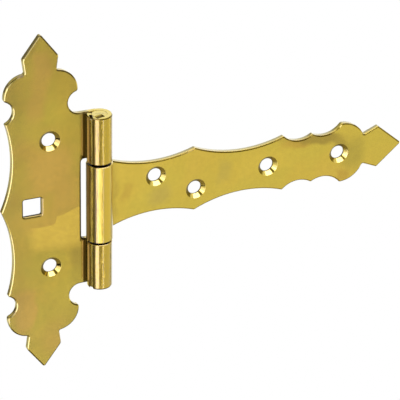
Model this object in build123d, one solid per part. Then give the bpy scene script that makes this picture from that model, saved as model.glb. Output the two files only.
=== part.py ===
from build123d import *
import os
from math import asin, degrees, radians, tan

# Decorative gate hinge: a fixed plate and a long strap, each cut from sheet
# and rolled into eyes round one pin. +X runs along the strap, +Y points at
# the wood behind the hinge and +Z is up along the pin. The origin is the
# centre of the square bolt hole, on the plate's back face.

# Driving dimensions, in millimetres.
# Sheet and pin
plate_sheet = 2.0
strap_sheet = 2.2
pin_diameter = 6.3
pin_axis_x = 27.4          # from the square hole to the pin's axis
plate_eye_clearance = 0.03  # radial, the pin sits tight in the plate's eyes
strap_eye_clearance = 0.10  # radial, the strap turns on the pin
plate_seam_gap = 0.8       # between the rolled end of an eye and the face it closes on
strap_seam_gap = 0.15
pin_recess = 0.05          # of each pin end below the end of the barrel
pin_chamfer = 0.1

# Barrel heights
barrel_height = 77.2
middle_eye_height = 34.1
eye_gap = 1.0              # between the strap's eye and each of the plate's

# Slot beside the strap's eye
slot_clearance = 1.15      # from the strap's eye to the end of the slot
slot_corner = 1.5

# Plate outline, measured from the vertical axis of its ornament
ornament_x = 4.2           # from the square hole to that axis
plate_height = 150.0
spear_half_width = 7.5
spear_height = 10.0        # from the tip down to the widest place
neck_half_width = 6.65
neck_drop = 16.2           # from the tip down to the neck
shoulder_half_width = 15.4
shoulder_drop = 26.6
shoulder_bulge = 2.9
notch_depth = 3.65         # of the round notch on the free side
hinge_notch_foot = 16.2    # where the notch on the hinge side runs out into the tab
wing_half_width = 15.2     # of the cusp below the notch
waist_depth = 3.55         # of the long hollow beside the cusp
middle_half_width = 17.4   # of the cusp at mid-height

# Strap outline. Its root is measured from the pin's axis and its ornament
# back from the tip, so that a longer strap has a longer middle.
strap_length = 138.4       # from the pin's axis to the tip
strap_root_x = 2.2         # where the straight end of the eye stops
hollow_1_sag = 4.2
cusp_1_x = 43.3
cusp_1_half = 14.2
hollow_2_sag = 3.9
cusp_2_back = 55.1
cusp_2_half = 12.4
hollow_3_sag = 2.4
cusp_3_back = 41.8
cusp_3_half = 11.1
hollow_4_sag = 2.6
cusp_4_back = 28.4
cusp_4_half = 13.6
bulb_bulge = 2.0
strap_neck_back = 17.9
strap_neck_half = 6.6
strap_spear_back = 11.1
strap_spear_half = 9.5

# Corners of the outlines
tip_radius = 0.8
spear_radius = 2.0
neck_radius = 0.8
shoulder_radius = 1.2
cusp_radius = 0.6

# Screw holes, countersunk from the front
screw_hole = 5.8
countersink = 8.8
countersink_angle = 90.0
plate_screw_x = 3.4        # from the ornament's axis
plate_screw_spacing = 56.8
strap_pair_x = 26.0        # nearer hole of the staggered pair, from the pin
strap_pair_step = 17.8
strap_pair_half_spread = 4.5
strap_outer_back = 29.3    # outermost hole, back from the tip
strap_outer_step = 32.8

# Square hole for the neck of a carriage bolt
bolt_square = 8.0
bolt_corner = 0.8

# Edges
edge_break = 0.4           # depth of the rolled-over front edges of the sheets
edge_roll = 0.55           # their width, on the front face
rim_height = 0.55          # of the steep bevel round each end of the barrel
rim_width = 0.27           # the same bevel, measured across the end
eye_edge = 0.2             # of the eyes' edges beside the gaps

# Marks that stake the pin in the outer eyes, placed from the pin's axis: a
# slanting dent across the joint and a short cut through the rim
dent_length = 3.8
dent_width = 2.9
dent_depth = 1.2
dent_x = -0.95
dent_y = -2.3
dent_angle = 15.0
cut_length = 3.4
cut_width = 1.15
cut_depth = 0.9
cut_x = -4.1
cut_y = -1.4
cut_angle = 78.0

# How near an edge lies to a plane or radius that it belongs to
hair = 0.01

# Sizes worked out from those above
pin_radius = pin_diameter / 2
plate_bore = pin_radius + plate_eye_clearance
strap_bore = pin_radius + strap_eye_clearance
plate_eye_radius = plate_bore + plate_sheet
strap_eye_radius = strap_bore + strap_sheet
pin_axis_y = -plate_eye_radius
strap_back_y = pin_axis_y + strap_eye_radius
barrel_top = barrel_height / 2
middle_eye_top = middle_eye_height / 2
slot_top = middle_eye_top + eye_gap
slot_x = pin_axis_x - strap_eye_radius - slot_clearance
tip_z = plate_height / 2
strap_tip_x = pin_axis_x + strap_length
pin_axis = Location((pin_axis_x, pin_axis_y, 0))


def mirrored_face(upper, corners, root_z):
    """The face between an upper line and its mirror image, closed at the pin's axis."""
    lower = [edge.mirror(Plane.XZ) for edge in upper]
    root = Line((pin_axis_x, -root_z), (pin_axis_x, root_z))
    face = make_face(upper + lower + [root])
    for places, radius in corners:
        for x, z in {(x, side * z) for x, z in places for side in (-1, 1)}:
            corner = face.vertices().sort_by_distance((x, z, 0))[0]
            face = fillet(corner, radius)
    return face


def plate_outline():
    """The plate's outline: spear, shoulder and notch above and below a waisted middle."""
    axis = ornament_x
    spear_z = tip_z - spear_height
    neck_z = tip_z - neck_drop
    shoulder_z = tip_z - shoulder_drop
    free_middle = (axis - middle_half_width, 0)
    free_wing = (axis - wing_half_width, barrel_top)
    free_shoulder = (axis - shoulder_half_width, shoulder_z)
    free_neck = (axis - neck_half_width, neck_z)
    free_spear = (axis - spear_half_width, spear_z)
    tip = (axis, tip_z)
    spear = (axis + spear_half_width, spear_z)
    neck = (axis + neck_half_width, neck_z)
    shoulder = (axis + shoulder_half_width, shoulder_z)
    notch_foot = (axis + hinge_notch_foot, barrel_top)
    upper = [
        SagittaArc(free_middle, free_wing, -waist_depth),
        SagittaArc(free_wing, free_shoulder, -notch_depth),
        SagittaArc(free_shoulder, free_neck, shoulder_bulge),
        Line(free_neck, free_spear),
        Line(free_spear, tip),
        Line(tip, spear),
        Line(spear, neck),
        SagittaArc(neck, shoulder, shoulder_bulge),
        TangentArc(notch_foot, shoulder, tangent=(-1, 0)),
        Line(notch_foot, (pin_axis_x, barrel_top)),
    ]
    corners = [
        ([free_spear, spear], spear_radius),
        ([tip], tip_radius),
        ([free_neck, neck], neck_radius),
        ([free_shoulder, shoulder], shoulder_radius),
        ([free_wing, free_middle], cusp_radius),
    ]
    return mirrored_face(upper, corners, barrel_top)


def strap_outline():
    """The strap's outline: hollows between cusps, then a bulb, a neck and a spear tip."""
    eye_end = (pin_axis_x, middle_eye_top)
    root = (pin_axis_x + strap_root_x, middle_eye_top)
    cusp_1 = (pin_axis_x + cusp_1_x, cusp_1_half)
    cusp_2 = (strap_tip_x - cusp_2_back, cusp_2_half)
    cusp_3 = (strap_tip_x - cusp_3_back, cusp_3_half)
    cusp_4 = (strap_tip_x - cusp_4_back, cusp_4_half)
    neck = (strap_tip_x - strap_neck_back, strap_neck_half)
    spear = (strap_tip_x - strap_spear_back, strap_spear_half)
    tip = (strap_tip_x, 0)
    upper = [
        Line(eye_end, root),
        SagittaArc(root, cusp_1, -hollow_1_sag),
        SagittaArc(cusp_1, cusp_2, -hollow_2_sag),
        SagittaArc(cusp_2, cusp_3, -hollow_3_sag),
        SagittaArc(cusp_3, cusp_4, -hollow_4_sag),
        SagittaArc(cusp_4, neck, bulb_bulge),
        Line(neck, spear),
        Line(spear, tip),
    ]
    corners = [
        ([cusp_1, cusp_2, cusp_3, spear], cusp_radius),
        ([cusp_4], shoulder_radius),
        ([neck], neck_radius),
        ([tip], tip_radius),
    ]
    return mirrored_face(upper, corners, middle_eye_top)


def upright(face, back_y):
    """A flat sketch stood up in the plane of a sheet's back face."""
    return Plane.XZ.offset(-back_y) * face


def roll_front_edges(leaf, front_y):
    """Breaks the edges round a sheet's front face, except where it runs into its eye."""
    on_front = leaf.edges().filter_by_position(Axis.Y, front_y - hair, front_y + hair)
    edges = [edge for edge in on_front if abs(edge.center().X - pin_axis_x) > hair]
    front = leaf.faces().sort_by(Axis.Y)[0]
    return chamfer(edges, edge_roll, edge_break, reference=front)


def screw_hole_cutter(x, z, sheet, back_y):
    """A through hole with a countersink opening to the front of the sheet."""
    through = Cylinder(screw_hole / 2, 3 * sheet, rotation=(90, 0, 0))
    depth = (countersink - screw_hole) / 2 / tan(radians(countersink_angle / 2))
    cone = Cone(screw_hole / 2, countersink / 2, depth, rotation=(90, 0, 0))
    front_y = back_y - sheet
    return Pos(x, back_y, z) * through + Pos(x, front_y + depth / 2, z) * cone


def rolled_eye(bore, sheet, side, low, high, seam_gap):
    """The rolled end of a sheet, from its tangent point behind the pin round to its seam.

    side is -1 where the flat sheet lies to the left of the pin and +1 to the right.
    An end of the eye that is an end of the barrel gets the steep bevel of the rim.
    """
    outer = bore + sheet
    sweep = 270 + degrees(asin((bore - seam_gap) / outer))

    outside = CenterArc((0, 0), outer, 90, side * sweep)
    inside = CenterArc((0, 0), bore, 90, side * sweep)
    ends = [Line(outside @ 0, inside @ 0), Line(outside @ 1, inside @ 1)]
    profile = make_face([outside, inside] + ends)
    eye = Pos(0, 0, low) * extrude(profile, high - low)
    for z in (low, high):
        end = eye.faces().filter_by_position(Axis.Z, z - hair, z + hair)[0]
        rim = [
            edge for edge in end.edges().filter_by(GeomType.CIRCLE)
            if abs(edge.radius - outer) < hair
        ]
        if abs(abs(z) - barrel_top) < hair:
            eye = chamfer(rim, rim_width, rim_height, reference=end)
        else:
            eye = chamfer(rim, eye_edge)
    return pin_axis * eye


def staking_marks():
    """The marks that stake the pin at both ends of the barrel, as a cutter."""
    slope = Polygon(
        (dent_width / 2, 0), (-dent_width / 2, -dent_depth), (-dent_width / 2, dent_depth), align=None
    )
    wedge = extrude(Plane.YZ * slope, dent_length / 2, both=True)
    dent = Pos(dent_x, dent_y) * Rot(0, 0, dent_angle) * wedge
    cut = Pos(cut_x, cut_y) * Rot(0, 0, cut_angle) * Box(cut_length, cut_width, 2 * cut_depth)
    upper = pin_axis * Pos(0, 0, barrel_top) * (dent + cut)
    return upper + mirror(upper, Plane.XY)


def plate():
    """The fixed plate with its two rolled eyes, one folded sheet."""
    slot_width = pin_axis_x - slot_x
    slot = Pos(slot_x + slot_width, 0) * RectangleRounded(2 * slot_width, 2 * slot_top, slot_corner)
    bolt_hole = RectangleRounded(bolt_square, bolt_square, bolt_corner)
    leaf = extrude(upright(plate_outline() - slot - bolt_hole, 0), plate_sheet)
    leaf = roll_front_edges(leaf, -plate_sheet)
    for z in (-plate_screw_spacing / 2, plate_screw_spacing / 2):
        leaf -= screw_hole_cutter(ornament_x + plate_screw_x, z, plate_sheet, 0)
    upper = rolled_eye(plate_bore, plate_sheet, -1, slot_top, barrel_top, plate_seam_gap)
    lower = rolled_eye(plate_bore, plate_sheet, -1, -barrel_top, -slot_top, plate_seam_gap)
    return leaf + upper + lower - staking_marks()


def strap():
    """The long strap with the middle eye, one folded sheet."""
    leaf = extrude(upright(strap_outline(), strap_back_y), strap_sheet)
    leaf = roll_front_edges(leaf, strap_back_y - strap_sheet)
    near_x = pin_axis_x + strap_pair_x
    outer_x = strap_tip_x - strap_outer_back
    holes = [
        (near_x, strap_pair_half_spread),
        (near_x + strap_pair_step, -strap_pair_half_spread),
        (outer_x - strap_outer_step, 0),
        (outer_x, 0),
    ]
    for x, z in holes:
        leaf -= screw_hole_cutter(x, z, strap_sheet, strap_back_y)
    eye = rolled_eye(
        strap_bore, strap_sheet, 1, -middle_eye_top, middle_eye_top, strap_seam_gap
    )
    return leaf + eye


def pin():
    """The hinge pin, a plain rod with chamfered and staked ends inside the barrel."""
    rod = Cylinder(pin_radius, barrel_height - 2 * pin_recess)
    ends = rod.edges().filter_by(GeomType.CIRCLE)
    return pin_axis * chamfer(ends, pin_chamfer) - staking_marks()


os.makedirs("parts", exist_ok=True)
for name, make in (("plate", plate), ("strap", strap), ("hinge_pin", pin)):
    export_step(make(), f"parts/{name}.step")
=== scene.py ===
from math import cos, degrees, pi, radians, sin

import bpy
from mathutils import Matrix, Vector

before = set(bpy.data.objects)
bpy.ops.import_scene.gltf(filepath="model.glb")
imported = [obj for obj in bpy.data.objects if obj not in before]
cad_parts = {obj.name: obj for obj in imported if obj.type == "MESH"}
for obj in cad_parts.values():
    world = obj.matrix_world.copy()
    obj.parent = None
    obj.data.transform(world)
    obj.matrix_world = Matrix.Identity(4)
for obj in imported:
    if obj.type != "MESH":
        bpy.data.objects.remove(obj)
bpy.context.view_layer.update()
MM = 0.001

# Camera, fitted to the photograph, whose frame is 400 x 400 pixels.
# Angles in radians, the sensor in millimetres.
IMAGE_SIZE = 400
SENSOR = 36.0
FOCAL_PIXELS = 2477.0
CAMERA_YAW = -0.417
CAMERA_PITCH = 0.476
CAMERA_ROLL = 0.020
CAMERA_PLACE = Vector((-0.2948, -0.8326, 0.4583))

# Studio, in metres. A direction is an azimuth from the front towards +X and
# an elevation, both in degrees, seen from the middle of the hinge.
STUDIO_CENTRE = Vector((0.03, -0.005, 0.0))
FLOOR_Z = -1.3
FLOOR_REACH = 6.0
ROOM_LIGHT = 0.35
WHITE = (1.0, 1.0, 1.0)
PAPER = (0.8, 0.8, 0.8)

# Soft lights: azimuth, elevation, distance, width, height, radiance, colour
SOFTBOXES = {
    "left_box": (-41.5, -14, 1.10, 0.59, 1.20, 1.60, (1.0, 1.0, 2.8)),
    "strip": (12.9, -27, 2.4, 0.19, 1.60, 2.9, (1.0, 1.0, 1.8)),
    "top_box": (34, 66, 0.80, 1.10, 0.60, 3.0, (1.0, 1.0, 1.8)),
    "rear_box": (153, 18, 0.80, 0.50, 0.90, 0.75, (1.0, 1.0, 0.9)),
}

# Cards that only the hinge's mirrors show: first and last azimuth, lowest and
# highest elevation, distance, radiance
CARD_STEPS = 16
CARDS = {
    "left_high": ((-70, -21), (8, 28), 1.3, (3.0, 3.0, 4.4)),
    "left_side": ((-72, -57), (-14, 8), 1.3, (1.8, 1.8, 3.0)),
    "dark_corner": ((-60, -28), (31, 46), 1.25, (0.20, 0.17, 0.07)),
    "dark_inner": ((-22, 4), (-6, 6), 1.6, (0.35, 0.30, 0.15)),
    "dark_above": ((-21, 18), (20, 44), 2.0, (0.12, 0.10, 0.05)),
    "dim_above": ((18, 56), (20, 44), 2.0, (0.34, 0.30, 0.15)),
    "dim_gap": ((-30, 8), (-45, -6), 1.8, (0.62, 0.60, 0.50)),
    "warm_front": ((16, 50), (-60, -2), 2.6, (1.0, 0.99, 0.76)),
    "warm_right": ((50, 88), (-60, -2), 2.6, (1.08, 1.03, 0.60)),
    "right_glint": ((77, 97), (-24, -9), 1.3, (2.0, 1.95, 1.2)),
    "dim_right": ((57, 90), (-2, 20), 1.3, (0.40, 0.37, 0.16)),
    "dark_right": ((97, 108), (-37, -18), 1.5, (0.30, 0.32, 0.12)),
    "dark_low_right": ((96, 135), (-60, -37), 1.4, (0.20, 0.20, 0.08)),
    "dark_left": ((-84, -66), (-60, 12), 1.45, (0.03, 0.025, 0.015)),
    "slit_left": ((-105, -84), (-60, 12), 1.45, (0.95, 0.95, 0.80)),
    "dark_back": ((-149, -105), (-60, -4), 1.45, (0.12, 0.10, 0.06)),
    "dark_high_back": ((-142, -105), (-4, 40), 1.45, (0.12, 0.10, 0.06)),
    "olive_back": ((-174, -149), (-60, -4), 1.45, (1.15, 1.08, 0.50)),
    "olive_mid_back": ((-174, -142), (-4, 14), 1.45, (0.90, 0.84, 0.40)),
    "olive_high_back": ((-174, -142), (14, 40), 1.45, (1.05, 1.0, 0.55)),
    "dark_below": ((-180, 180), (-90, -60), 1.2, (0.42, 0.38, 0.14)),
}

# Places on the hinge, in millimetres. The sheets reach from about -2 in y,
# their front, to 0. A pair of values is the start and the end of a soft step.
PIN_X = 27.4
PIN_Y = -5.18
BARREL_TOP = 38.6
SLOT_TOP = 18.2
BEHIND_BARREL_Y = (-2.3, -2.1)
EDGE_MIDDLE_Y = (-1.84, -1.74)
LEFT_OF_SLOT_X = (19.0, 19.5)
ROUND_EYES = (5.6, 5.8)
ROUND_PIN = (4.6, 5.0)

# The screw holes' middles, x and z, and the step round their bores
PLATE_HOLES = [(7.6, 28.4), (7.6, -28.4)]
STRAP_HOLES = [(53.4, 4.5), (71.2, -4.5), (103.7, 0.0), (136.5, 0.0)]
ROUND_BORE = (3.1, 3.4)

# The dark spot beside the cut that stakes the pin: its middle, from the pin's
# axis, and its half sizes, along x and y
SPOT_MIDDLE = (-3.9, -1.2)
SPOT_HALF = (0.9, 1.3)

# Tones of the passivated plating
PLATE = (0.402, 0.278, 0.020)
OLIVE = (0.362, 0.268, 0.018)
PINK = (0.432, 0.263, 0.034)
# PLATE_LIGHT is also the colour of the plate's painted reflection
PLATE_LIGHT = (0.54, 0.366, 0.036)
# SHADOW is a painted shade, not a tone of the plating
SHADOW = (0.29, 0.20, 0.014)
STRAP = (0.58, 0.413, 0.042)
STRAP_OLIVE = (0.56, 0.418, 0.043)
STRAP_PINK = (0.605, 0.408, 0.052)
LIGHT = (0.54, 0.375, 0.036)
GREY = (0.475, 0.355, 0.058)
BROWN = (0.47, 0.29, 0.03)
RUST = (0.41, 0.285, 0.028)
PALE = (0.65, 0.46, 0.05)
DULL = (0.43, 0.322, 0.034)
UMBER = (0.33, 0.226, 0.022)
BRONZE = (0.38, 0.27, 0.026)
OCHRE = (0.46, 0.325, 0.033)

# Painted highlights and painted shade on the countersinks and the broken edges, and the tone of the
# barrel's ends
CONE_HIGHLIGHT = (0.74, 0.58, 0.12)
CONE_SHADE = (0.20, 0.15, 0.016)
EDGE_HIGHLIGHT = (0.80, 0.66, 0.10)
EDGE_SHADE = (0.10, 0.085, 0.02)
LIP_SHADE = (0.10, 0.07, 0.008)
END_GOLD = (0.41, 0.325, 0.018)

# Tones of the cut walls and of their torn far side, and the painted shade of gaps and marks
WALL = (0.30, 0.24, 0.07)
TORN_WALL = (0.16, 0.14, 0.035)
DEEP_SHADE = (0.035, 0.022, 0.004)

# Noises of the plating: scale, detail and roughness
DRIFT = (42.0, 3.0, 0.55)
BLUSH = (30.0, 2.0, 0.5)
MOTTLE = (480.0, 3.0, 0.6)
SPECKS = (1500.0, 2.0, 0.6)
RAGGED = (130.0, 3.0, 0.5)
GLOSS = (60.0, 3.0, 0.5)
WAVES = (28.0, 1.0, 0.5)
SKIN = (900.0, 2.0, 0.5)
STREAKS = (1.6, 3.0, 0.5)

# Where a noise is read a second time, in metres, so that it differs
BLUSH_SHIFT = (0.31, 0.17, 0.52)
RAGGED_SHIFT = (0.7, 0.2, 0.4)

# How far the noises push the stains' outlines and the surface, in millimetres
RAGGED_REACH = 6.0
WAVE_HEIGHT = 0.12
SKIN_HEIGHT = 0.0012
STREAK_HEIGHT = 0.12

# Stains on the fronts: x, z, half width and half height in millimetres, turn
# in degrees, softness of the edge, strength, tone
PLATE_STAINS = [
    (4.7, 62.0, 3.5, 6.0, 0, 0.5, 0.8, PINK),
    (2.7, 48.0, 3.5, 10.0, -8, 0.6, 0.7, PINK),
    (8.0, 14.8, 10.0, 10.5, 0, 0.4, 0.8, PINK),
    (14.2, 2.5, 5.0, 7.0, 0, 0.5, 0.7, PINK),
    (-3.6, -47.0, 4.5, 9.5, 0, 0.3, 0.8, PINK),
    # The two SHADOW entries are painted shade, not stains: beside the spear's left edge and beside the
    # lower eye
    (0.9, 71.0, 2.2, 5.0, -25, 0.6, 0.8, SHADOW),
    (19.2, -25.0, 2.6, 4.5, 0, 0.6, 0.6, SHADOW),
]
STRAP_STAINS = [
    (55.2, -4.4, 4.0, 4.0, 0, 0.6, 0.8, GREY),
    (84.2, 0.8, 3.3, 4.5, 0, 0.6, 0.6, GREY),
    (115.8, 8.1, 6.0, 2.0, 0, 0.5, 0.85, BROWN),
    (142.9, -0.6, 4.4, 6.5, 0, 0.6, 0.9, DULL),
    (138.5, -10.5, 2.5, 2.5, 0, 0.5, 0.7, BROWN),
    (40.7, -0.3, 2.5, 3.5, 0, 0.5, 0.4, BROWN),
    (33.6, 0.0, 2.4, 22.0, 0, 0.6, 0.6, RUST),
    (126.0, 9.0, 10.5, 2.2, -10, 0.5, 0.9, UMBER),
    (137.6, 4.4, 4.2, 2.2, -32, 0.5, 0.85, BRONZE),
    (103.0, 2.5, 12.0, 5.0, 0, 0.6, 0.5, PALE),
    (108.5, 12.0, 8.0, 1.6, -10, 0.5, 0.8, OCHRE),
]

# Painted dark reflections along the left of the eyes, in degrees round the pin:
# where each starts, is full, is full no more and stops, and its strength
PLATE_DARK_REFLECTIONS = [(-83, -75, -66, -60, 0.6), (-55, -51, -45, -36, 0.8)]
STRAP_DARK_REFLECTIONS = [(-66, -62, -59, -56, 0.35), (-51, -47, -40, -30, 0.75)]


def direction(azimuth, elevation):
    """The unit vector that points that way from the hinge."""
    a, e = radians(azimuth), radians(elevation)
    return Vector((sin(a) * cos(e), -cos(a) * cos(e), sin(e)))


def make_camera():
    """The camera of the photograph."""
    back = direction(degrees(CAMERA_YAW), degrees(CAMERA_PITCH))
    level_right = (-back).cross(Vector((0, 0, 1))).normalized()
    level_up = level_right.cross(-back)
    right = level_right * cos(CAMERA_ROLL) + level_up * sin(CAMERA_ROLL)
    up = level_up * cos(CAMERA_ROLL) - level_right * sin(CAMERA_ROLL)
    camera = bpy.data.objects.new("camera", bpy.data.cameras.new("camera"))
    camera.data.sensor_width = SENSOR
    camera.data.lens = SENSOR * FOCAL_PIXELS / IMAGE_SIZE
    camera.data.clip_start = 0.01
    camera.data.clip_end = 50.0
    axes = Matrix((right, up, back)).transposed().to_4x4()
    camera.matrix_world = Matrix.Translation(CAMERA_PLACE) @ axes
    bpy.context.scene.collection.objects.link(camera)
    bpy.context.scene.camera = camera


def softbox(name, azimuth, elevation, distance, width, height, radiance, colour):
    """A rectangular soft light with the radiance that it shows in a mirror."""
    light = bpy.data.lights.new(name, "AREA")
    light.shape = "RECTANGLE"
    light.size = width
    light.size_y = height
    light.color = colour
    light.energy = radiance * width * height * pi
    place = STUDIO_CENTRE + direction(azimuth, elevation) * distance
    aim = (STUDIO_CENTRE - place).to_track_quat("-Z", "Y").to_matrix().to_4x4()
    box = bpy.data.objects.new(name, light)
    box.matrix_world = Matrix.Translation(place) @ aim
    box.visible_camera = False
    bpy.context.scene.collection.objects.link(box)


class Graph:
    """A node tree being built: add() makes a node, put() fills a socket."""

    def __init__(self, owner):
        owner.use_nodes = True
        self.tree = owner.node_tree
        self.tree.nodes.clear()

    def add(self, kind, inputs=None, **settings):
        """A new node with these settings, its inputs filled by name or by number."""
        node = self.tree.nodes.new("ShaderNode" + kind)
        for key, value in settings.items():
            setattr(node, key, value)
        for key, value in (inputs or {}).items():
            self.put(value, node.inputs[key])
        return node

    def put(self, value, socket):
        """Links an output socket, or sets a plain value. Colours come without alpha."""
        if isinstance(value, bpy.types.NodeSocket):
            self.tree.links.new(value, socket)
        elif socket.type == "RGBA":
            socket.default_value = (*value, 1.0)
        else:
            socket.default_value = value

    def math(self, operation, *values, clamp=False):
        node = self.add("Math", operation=operation, use_clamp=clamp)
        for socket, value in zip(node.inputs, values):
            self.put(value, socket)
        return node.outputs[0]

    def chain(self, operation, first, *others):
        """One value from several, taken in turn."""
        for value in others:
            first = self.math(operation, first, value)
        return first

    def plus(self, *values):
        return self.chain("ADD", *values)

    def times(self, *values):
        return self.chain("MULTIPLY", *values)

    def most(self, *values):
        """The largest of the values."""
        return self.chain("MAXIMUM", *values)

    def minus(self, first, second):
        return self.math("SUBTRACT", first, second)

    def over(self, value, divisor, clamp=False):
        return self.math("DIVIDE", value, divisor, clamp=clamp)

    def absolute(self, value):
        return self.math("ABSOLUTE", value)

    def squares(self, first, second):
        """The sum of two squares."""
        return self.plus(self.times(first, first), self.times(second, second))

    def length(self, first, second):
        return self.math("SQRT", self.squares(first, second))

    def smooth(self, value, low, high, to_low, to_high):
        """value taken smoothly from low..high to to_low..to_high."""
        node = self.add("MapRange", interpolation_type="SMOOTHSTEP")
        for socket, number in zip(node.inputs, (value, low, high, to_low, to_high)):
            self.put(number, socket)
        return node.outputs[0]

    def rise(self, value, low, high, top=1.0):
        """0 up to low and top from high on."""
        return self.smooth(value, low, high, 0.0, top)

    def fall(self, value, low, high, top=1.0):
        """top up to low and 0 from high on."""
        return self.smooth(value, low, high, top, 0.0)

    def window(self, value, start, full, last, stop, top=1.0):
        """top between full and last, and 0 outside start and stop."""
        return self.times(self.rise(value, start, full), self.fall(value, last, stop, top))

    def blend(self, share, first, second, kind="RGBA"):
        """A colour or a vector that goes from first to second as share goes from 0 to 1."""
        # The node has a pair of inputs and an output for each kind
        output = {"VECTOR": 1, "RGBA": 2}[kind]
        pair = 2 + 2 * output
        mixed = self.add("Mix", {0: share, pair: first, pair + 1: second}, data_type=kind)
        return mixed.outputs[output]

    def layers(self, colour, *tones):
        """The colour under further tones, each given as its share and its colour."""
        for share, tone in tones:
            colour = self.blend(share, colour, tone)
        return colour

    def scaled(self, vector, factor):
        return self.add("VectorMath", {0: vector, "Scale": factor}, operation="SCALE").outputs[0]

    def noise(self, where, scale, detail, roughness, shift=None):
        """Noise at a place, or at that place moved by shift."""
        if shift:
            where = self.add("VectorMath", {0: where, 1: shift}, operation="ADD").outputs[0]
        inputs = {"Vector": where, "Scale": scale, "Detail": detail, "Roughness": roughness}
        return self.add("TexNoise", inputs).outputs[0]

    def end_with(self, output, lit, shown):
        """The tree's output: shown for the rays that show the background, else lit."""
        path = self.add("LightPath").outputs
        shows = self.most(path["Is Camera Ray"], path["Is Glossy Ray"], path["Is Transmission Ray"])
        mixed = self.add("MixShader", {0: shows, 1: lit.outputs[0], 2: shown.outputs[0]})
        self.add(output, {0: mixed.outputs[0]})


def make_world():
    """White behind the hinge and in its mirrors, and an even light from all round."""
    world = bpy.data.worlds.new("studio")
    bpy.context.scene.world = world
    g = Graph(world)
    lit = g.add("Background", {"Color": WHITE, "Strength": ROOM_LIGHT})
    shown = g.add("Background", {"Color": WHITE, "Strength": 1.0})
    g.end_with("OutputWorld", lit, shown)


def studio_sheet(name, points, faces, material):
    """A staged sheet, which isn't part of the hinge."""
    mesh = bpy.data.meshes.new(name)
    mesh.from_pydata(points, [], faces)
    mesh.materials.append(material)
    sheet = bpy.data.objects.new(name, mesh)
    bpy.context.scene.collection.objects.link(sheet)
    return sheet


def make_floor():
    """A plain floor, white to the camera and in mirrors."""
    material = bpy.data.materials.new("floor_white")
    g = Graph(material)
    lit = g.add("BsdfDiffuse", {"Color": PAPER})
    shown = g.add("Emission", {"Color": WHITE, "Strength": 1.0})
    g.end_with("OutputMaterial", lit, shown)
    r = FLOOR_REACH
    corners = [(-r, -r, FLOOR_Z), (r, -r, FLOOR_Z), (r, r, FLOOR_Z), (-r, r, FLOOR_Z)]
    studio_sheet("floor", corners, [(0, 1, 2, 3)], material)


def make_card(name, azimuths, elevations, distance, radiance):
    """A curved card that only the hinge's mirrors show, with the radiance they show."""
    material = bpy.data.materials.new(name)
    g = Graph(material)
    glow = g.add("Emission", {"Color": radiance, "Strength": 1.0})
    g.add("OutputMaterial", {0: glow.outputs[0]})
    points = []
    faces = []
    for j in range(CARD_STEPS + 1):
        elevation = elevations[0] + (elevations[1] - elevations[0]) * j / CARD_STEPS
        for i in range(CARD_STEPS + 1):
            azimuth = azimuths[0] + (azimuths[1] - azimuths[0]) * i / CARD_STEPS
            points.append(STUDIO_CENTRE + direction(azimuth, elevation) * distance)
    row = CARD_STEPS + 1
    for j in range(CARD_STEPS):
        for i in range(CARD_STEPS):
            corner = j * row + i
            faces.append((corner, corner + 1, corner + row + 1, corner + row))
    card = studio_sheet(name, points, faces, material)
    card.visible_camera = False
    card.visible_diffuse = False
    card.visible_shadow = False


class Surface:
    """Sockets for where a point of a piece is and which way the surface faces there.

    place is in metres, and the other lengths are in millimetres. height is
    from the barrel's middle, up or down. out and turn are the distance from
    the pin's axis and the angle round it, in degrees from the front towards
    +X. frontal and upright are 1 where the surface squarely faces the front
    or the back, and up or down. All are in the piece's own frame.
    """

    def __init__(self, g):
        coordinates = g.add("TexCoord").outputs
        self.place = coordinates["Object"]
        self.x, self.y, self.z = g.add("SeparateXYZ", {0: g.scaled(self.place, 1 / MM)}).outputs
        self.height = g.absolute(self.z)
        self.pin_x = g.minus(self.x, PIN_X)
        self.pin_y = g.minus(self.y, PIN_Y)
        self.out = g.length(self.pin_x, self.pin_y)
        self.turn = g.math("DEGREES", g.math("ARCTAN2", self.pin_x, g.times(self.pin_y, -1.0)))
        self.facing_x, facing_y, self.facing_z = g.add("SeparateXYZ", {0: coordinates["Normal"]}).outputs
        self.frontal = g.absolute(facing_y)
        self.upright = g.absolute(self.facing_z)

        # The fronts of the sheets, and what makes the outline of a stain ragged
        self.front = g.window(self.y, -3.2, -2.8, -1.0, -0.6)
        self.ragged_x, self.ragged_z = (
            g.times(g.minus(g.noise(self.place, *RAGGED, shift), 0.5), RAGGED_REACH)
            for shift in (None, RAGGED_SHIFT)
        )


def stain_share(g, at, x, z, half_width, half_height, turn, softness, strength):
    """How much a stain covers: a ragged box with round corners, on the front."""
    dx = g.minus(g.plus(at.x, at.ragged_x), x)
    dz = g.minus(g.plus(at.z, at.ragged_z), z)
    c, s = cos(radians(turn)), sin(radians(turn))
    along = g.plus(g.times(dx, c), g.times(dz, s))
    across = g.minus(g.times(dz, c), g.times(dx, s))
    u = g.math("POWER", g.absolute(g.over(along, half_width)), 4.0)
    v = g.math("POWER", g.absolute(g.over(across, half_height)), 4.0)
    away = g.math("POWER", g.plus(u, v), 0.25)
    return g.times(g.fall(away, 1.0 - softness, 1.0 + softness, strength), at.front)


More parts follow.
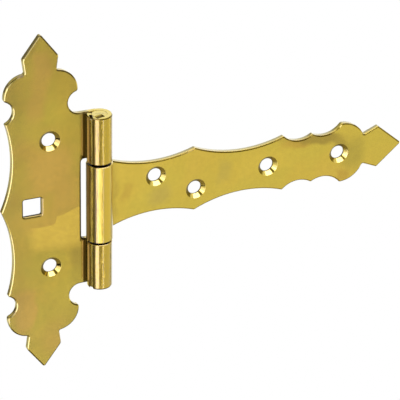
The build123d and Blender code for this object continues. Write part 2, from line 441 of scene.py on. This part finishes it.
def plate_tone_and_reflection(g, at, colour, light):
    """The plate's tone, darker towards the top and the left and lighter towards the bottom and in two
    bands, and a painted reflection: a clear, lighter patch.
    """
    levels = g.times(
        g.smooth(at.z, 30.0, 50.0, 1.0, 0.84),
        g.smooth(at.z, -50.0, -22.0, 1.12, 1.0),
        g.smooth(at.x, -10.0, 3.0, 0.77, 1.0),
    )
    above_hole = g.window(at.z, 33.0, 40.0, 53.0, 60.0)
    below_patch = g.window(at.z, -48.0, -38.0, -25.0, -20.0, 1.2)
    gain = g.times(g.most(above_hole, below_patch), 0.10, g.window(at.x, 2.0, 9.0, 14.5, 18.0))
    colour = g.scaled(colour, g.times(levels, g.plus(gain, 1.0)))

    # The painted reflection: a step in its top edge, then a slow climb to the right
    x = g.plus(at.x, g.times(at.ragged_x, 0.35))
    z = g.plus(at.z, g.times(at.ragged_z, 0.35))
    top = g.plus(g.smooth(x, 9.0, 10.4, -9.0, -5.6), g.rise(x, 10.4, 20.0, 3.0))
    painted_reflection = g.times(
        g.fall(g.minus(z, top), -0.6, 0.3),
        g.rise(x, -3.4, 2.4),
        g.rise(z, -23.5, -16.5),
        at.front,
    )
    return g.blend(painted_reflection, colour, light)


def cone_masks(g, at):
    """The cones of the countersunk holes, and their shaded side."""
    cone = g.times(g.window(at.frontal, 0.60, 0.68, 0.73, 0.76), g.rise(at.y, *BEHIND_BARREL_Y))
    tilt = g.minus(g.times(at.facing_z, 0.85), g.times(at.facing_x, 0.5))
    return cone, g.times(cone, g.fall(tilt, 0.14, 0.28, 0.9))


def edge_masks(g, at):
    """Painted highlights and shade on the broken edges: the plate's lit and shaded ones, and every lip
    that faces up.
    """
    broken = g.times(g.window(at.frontal, 0.76, 0.79, 0.90, 0.95), g.rise(at.y, *BEHIND_BARREL_Y))
    on_plate = g.times(broken, g.fall(at.x, *LEFT_OF_SLOT_X))
    by_square = g.times(g.fall(g.absolute(at.x), 5.0, 5.5), g.fall(at.height, 5.0, 5.5, 0.8))
    left = g.times(g.fall(at.facing_x, -0.53, -0.46), g.smooth(at.facing_z, -0.26, -0.14, 0.2, 1.0))
    upper_left = g.times(g.window(at.facing_x, -0.53, -0.46, -0.25, -0.12), g.rise(at.facing_z, 0.1, 0.2))
    lit = g.most(left, g.times(upper_left, g.fall(at.y, *EDGE_MIDDLE_Y)))
    shaded = g.most(
        g.times(left, g.rise(at.y, *EDGE_MIDDLE_Y, 0.7)),
        g.times(upper_left, g.rise(at.y, -1.82, -1.72, 0.75)),
        g.times(by_square, g.rise(at.y, -1.92, -1.84, 0.8)),
    )
    lip = g.times(broken, g.rise(at.facing_z, 0.40, 0.50, 0.6), g.rise(at.facing_x, -0.25, -0.12))
    return g.times(on_plate, lit, g.minus(1.0, by_square)), g.times(on_plate, shaded), lip


def painted_shade_mask(g, at, wall, end, dark_reflection_bands, holes):
    """Painted shade in gaps, seams, marks, rims and far walls, painted dark reflections along the eyes,
    and a dark spot beside a staking cut.
    """
    # Painted shade between the eyes and in the seams and staking marks, and a dark spot beside the marks
    gap_shade = g.times(g.fall(at.out, *ROUND_PIN), g.fall(at.height, SLOT_TOP, SLOT_TOP + 0.2))
    mark_shade = g.times(
        g.fall(at.out, 4.7, 5.0),
        g.window(at.height, SLOT_TOP + 0.1, SLOT_TOP + 0.3, BARREL_TOP - 0.4, BARREL_TOP - 0.01, 0.85),
    )
    spot_x = g.over(g.minus(at.pin_x, SPOT_MIDDLE[0]), SPOT_HALF[0])
    spot_y = g.over(g.minus(at.pin_y, SPOT_MIDDLE[1]), SPOT_HALF[1])
    spot = g.times(end, g.fall(g.squares(spot_x, spot_y), 0.6, 1.5, 0.7))

    # Painted dark reflections along the left of the eyes, and painted shade on the rims of the barrel's
    # ends
    dark_reflection = g.most(0.0, *(g.window(at.turn, *band) for band in dark_reflection_bands))
    dark_reflection = g.times(dark_reflection, g.window(at.out, 5.0, 5.1, 5.6, 5.7))
    rim_shade = g.times(
        g.window(at.upright, 0.25, 0.35, 0.60, 0.70, 0.6),
        g.rise(at.height, BARREL_TOP - 0.7, BARREL_TOP - 0.6),
        g.rise(at.out, 4.6, 4.7),
    )

    # Painted shade where the plate's sheet meets its eyes, and round the slot
    crevice_shade = g.times(
        g.window(at.x, 21.1, 21.8, 24.0, 24.5, 0.85),
        g.window(at.y, -2.3, -2.2, -1.5, -1.2),
    )
    slot_end_shade = g.times(
        g.fall(at.frontal, 0.90, 0.97),
        g.fall(at.height, SLOT_TOP + 0.3, SLOT_TOP + 0.5, 0.8),
        g.window(at.x, 20.0, 20.2, 22.4, 22.6),
    )
    slot_side_shade = g.times(
        g.window(at.x, 19.7, 20.4, 22.4, 22.6, 0.8),
        g.smooth(at.z, 9.0, 17.5, 1.0, 0.1),
        g.rise(at.z, -19.5, -18.5),
    )

    # Painted shade on the far half of the square hole, and in the screw holes behind their cones
    square_hole_shade = g.times(
        g.fall(g.absolute(at.x), 4.1, 4.3),
        g.fall(at.height, 4.1, 4.3),
        g.rise(at.y, -1.3, -0.9),
        wall,
    )
    reaches = [g.length(g.minus(at.x, x), g.minus(at.z, z)) for x, z in holes]
    bore_shade = g.times(g.most(0.0, *(g.fall(reach, *ROUND_BORE, 0.7) for reach in reaches)), wall)
    return g.most(gap_shade, mark_shade, spot, dark_reflection, rim_shade, crevice_shade, slot_end_shade, slot_side_shade, square_hole_shade, bore_shade)


def relief(g, at, eye):
    """Slow waves of the sheet, fine skin and streaks along the eyes, in millimetres."""
    waves = g.times(g.noise(at.place, *WAVES), WAVE_HEIGHT)
    skin = g.times(g.noise(at.place, *SKIN), SKIN_HEIGHT)
    around = g.add("CombineXYZ", {0: g.times(at.turn, radians(5.3)), 2: g.times(at.z, 0.09)}).outputs[0]
    streaks = g.times(g.noise(around, *STREAKS), STREAK_HEIGHT)
    return g.plus(waves, skin, g.times(streaks, eye))


def rolled_flat(g, at, eye):
    """A flat, left by the rolling, along the front of the strap's eye, in millimetres.

    Its height climbs as the square of the angle from the left to just short
    of the front, falls back a little past it, and fades out on the right.
    """
    towards = g.over(g.minus(at.turn, -54.0), 44.5, clamp=True)
    past = g.over(g.minus(at.turn, -9.5), 25.0, clamp=True)
    height = g.minus(g.times(towards, towards, 0.53), g.times(past, 0.30))
    return g.times(height, g.fall(at.turn, 62.0, 95.0), eye)


def plating(name, tones, wall_dulling, stains=(), dark_reflection_bands=(), holes=(), tone_and_reflection=None, eye_relief=None):
    """Yellow-passivated zinc: a mottled gold, glossy coat, duller on the cut edges, with painted
    highlights, painted shade and painted dark reflections.

    tones are the base, olive, pink and light tone, and wall_dulling is the
    share of the dull tone on the cut walls. A toning function, if given, changes
    the colour of the whole piece and may paint a reflection on it, and eye_relief
    adds to the height of its eye's surface.
    """
    material = bpy.data.materials.new(name)
    g = Graph(material)
    at = Surface(g)
    base, olive, pink, light = tones

    # Slow drifts of the passivation, then the stains
    drift = g.noise(at.place, *DRIFT)
    blush = g.noise(at.place, *BLUSH, BLUSH_SHIFT)
    colour = g.blend(g.rise(drift, 0.40, 0.62), olive, base)
    colour = g.blend(g.rise(blush, 0.50, 0.72, 0.7), colour, pink)
    for *shape, tone in stains:
        colour = g.blend(stain_share(g, at, *shape), colour, tone)
    if tone_and_reflection:
        colour = tone_and_reflection(g, at, colour, light)

    # Painted highlights and shade on the countersinks and broken edges, by the way they face, then specks
    cone, cone_shade = cone_masks(g, at)
    lit_edge, dark_edge, lip = edge_masks(g, at)
    colour = g.layers(
        colour,
        (g.times(cone, 0.45), CONE_HIGHLIGHT),
        (g.times(lit_edge, 0.6), EDGE_HIGHLIGHT),
        (dark_edge, EDGE_SHADE),
        (lip, LIP_SHADE),
        (cone_shade, CONE_SHADE),
        (g.rise(g.noise(at.place, *SPECKS), 0.58, 0.75, 0.25), light),
    )
    mottle = g.smooth(g.noise(at.place, *MOTTLE), 0.36, 0.64, 0.975, 1.025)
    colour = g.scaled(colour, mottle)

    # The eyes, the barrel's ends, the cut walls, and painted shade on what lies deep
    eye = g.fall(at.out, *ROUND_EYES)
    end = g.times(
        g.rise(at.height, BARREL_TOP - 0.2, BARREL_TOP - 0.1),
        g.fall(at.out, 5.0, 5.2),
        g.rise(at.upright, 0.8, 0.9),
    )
    wall = g.times(g.fall(at.frontal, 0.15, 0.5), g.rise(at.out, 5.8, 6.1))
    torn = g.times(wall, g.rise(at.y, -1.1, -0.7))
    painted_shade = painted_shade_mask(g, at, wall, end, dark_reflection_bands, holes)
    colour = g.layers(
        colour,
        (g.times(eye, 0.5), light),
        (g.times(end, 0.75), END_GOLD),
        (g.times(wall, wall_dulling), WALL),
        (g.times(torn, 0.75), TORN_WALL),
        (painted_shade, DEEP_SHADE),
    )
    roughness = g.plus(
        g.smooth(g.noise(at.place, *GLOSS), 0.3, 0.7, 0.13, 0.19),
        g.times(wall, 0.16),
        g.times(painted_shade, 0.2),
        g.times(cone, -0.05),
        g.times(cone_shade, 0.4),
    )
    # The coat is thinned where shade is painted, and partly on the cones and the barrel's ends
    wear_and_shade = g.most(painted_shade, dark_edge, lip, cone_shade, g.times(cone, 0.3), g.times(end, 0.4))

    # Relief, on normals that round every edge but those of the staking marks
    height = relief(g, at, eye)
    if eye_relief:
        height = g.plus(height, eye_relief(g, at, eye))
    rounded = g.add("Bevel", {"Radius": 0.3 * MM}, samples=6).outputs[0]
    plain = g.add("NewGeometry").outputs["Normal"]
    end_face = g.times(g.fall(at.out, 4.5, 4.7), g.rise(at.height, 37.0, 37.1))
    normal = g.blend(end_face, rounded, plain, "VECTOR")
    bump = g.add("Bump", {"Strength": 1.0, "Distance": MM, "Height": height, "Normal": normal})

    metal = g.add("BsdfPrincipled", {
        "Base Color": colour,
        "Metallic": 1.0,
        "Roughness": roughness,
        "Coat Weight": g.minus(1.0, wear_and_shade),
        "Coat Roughness": 0.1,
        "Normal": bump.outputs[0],
    })
    g.add("OutputMaterial", {0: metal.outputs[0]})
    return material


make_camera()
make_world()
make_floor()
for name, values in SOFTBOXES.items():
    softbox(name, *values)
for name, values in CARDS.items():
    make_card(name, *values)

metals = {
    "plate": plating(
        "plated_plate",
        tones=(PLATE, OLIVE, PINK, PLATE_LIGHT),
        wall_dulling=0.0,
        stains=PLATE_STAINS,
        dark_reflection_bands=PLATE_DARK_REFLECTIONS,
        holes=PLATE_HOLES,
        tone_and_reflection=plate_tone_and_reflection,
    ),
    "strap": plating(
        "plated_strap",
        tones=(STRAP, STRAP_OLIVE, STRAP_PINK, LIGHT),
        wall_dulling=0.6,
        stains=STRAP_STAINS,
        dark_reflection_bands=STRAP_DARK_REFLECTIONS,
        holes=STRAP_HOLES,
        eye_relief=rolled_flat,
    ),
    "hinge_pin": plating("plated_pin", tones=(LIGHT, OLIVE, LIGHT, LIGHT), wall_dulling=0.35),
}
for name, metal in metals.items():
    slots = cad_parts[name].data.materials
    slots.clear()
    slots.append(metal)

bpy.context.scene.view_settings.view_transform = "Standard"
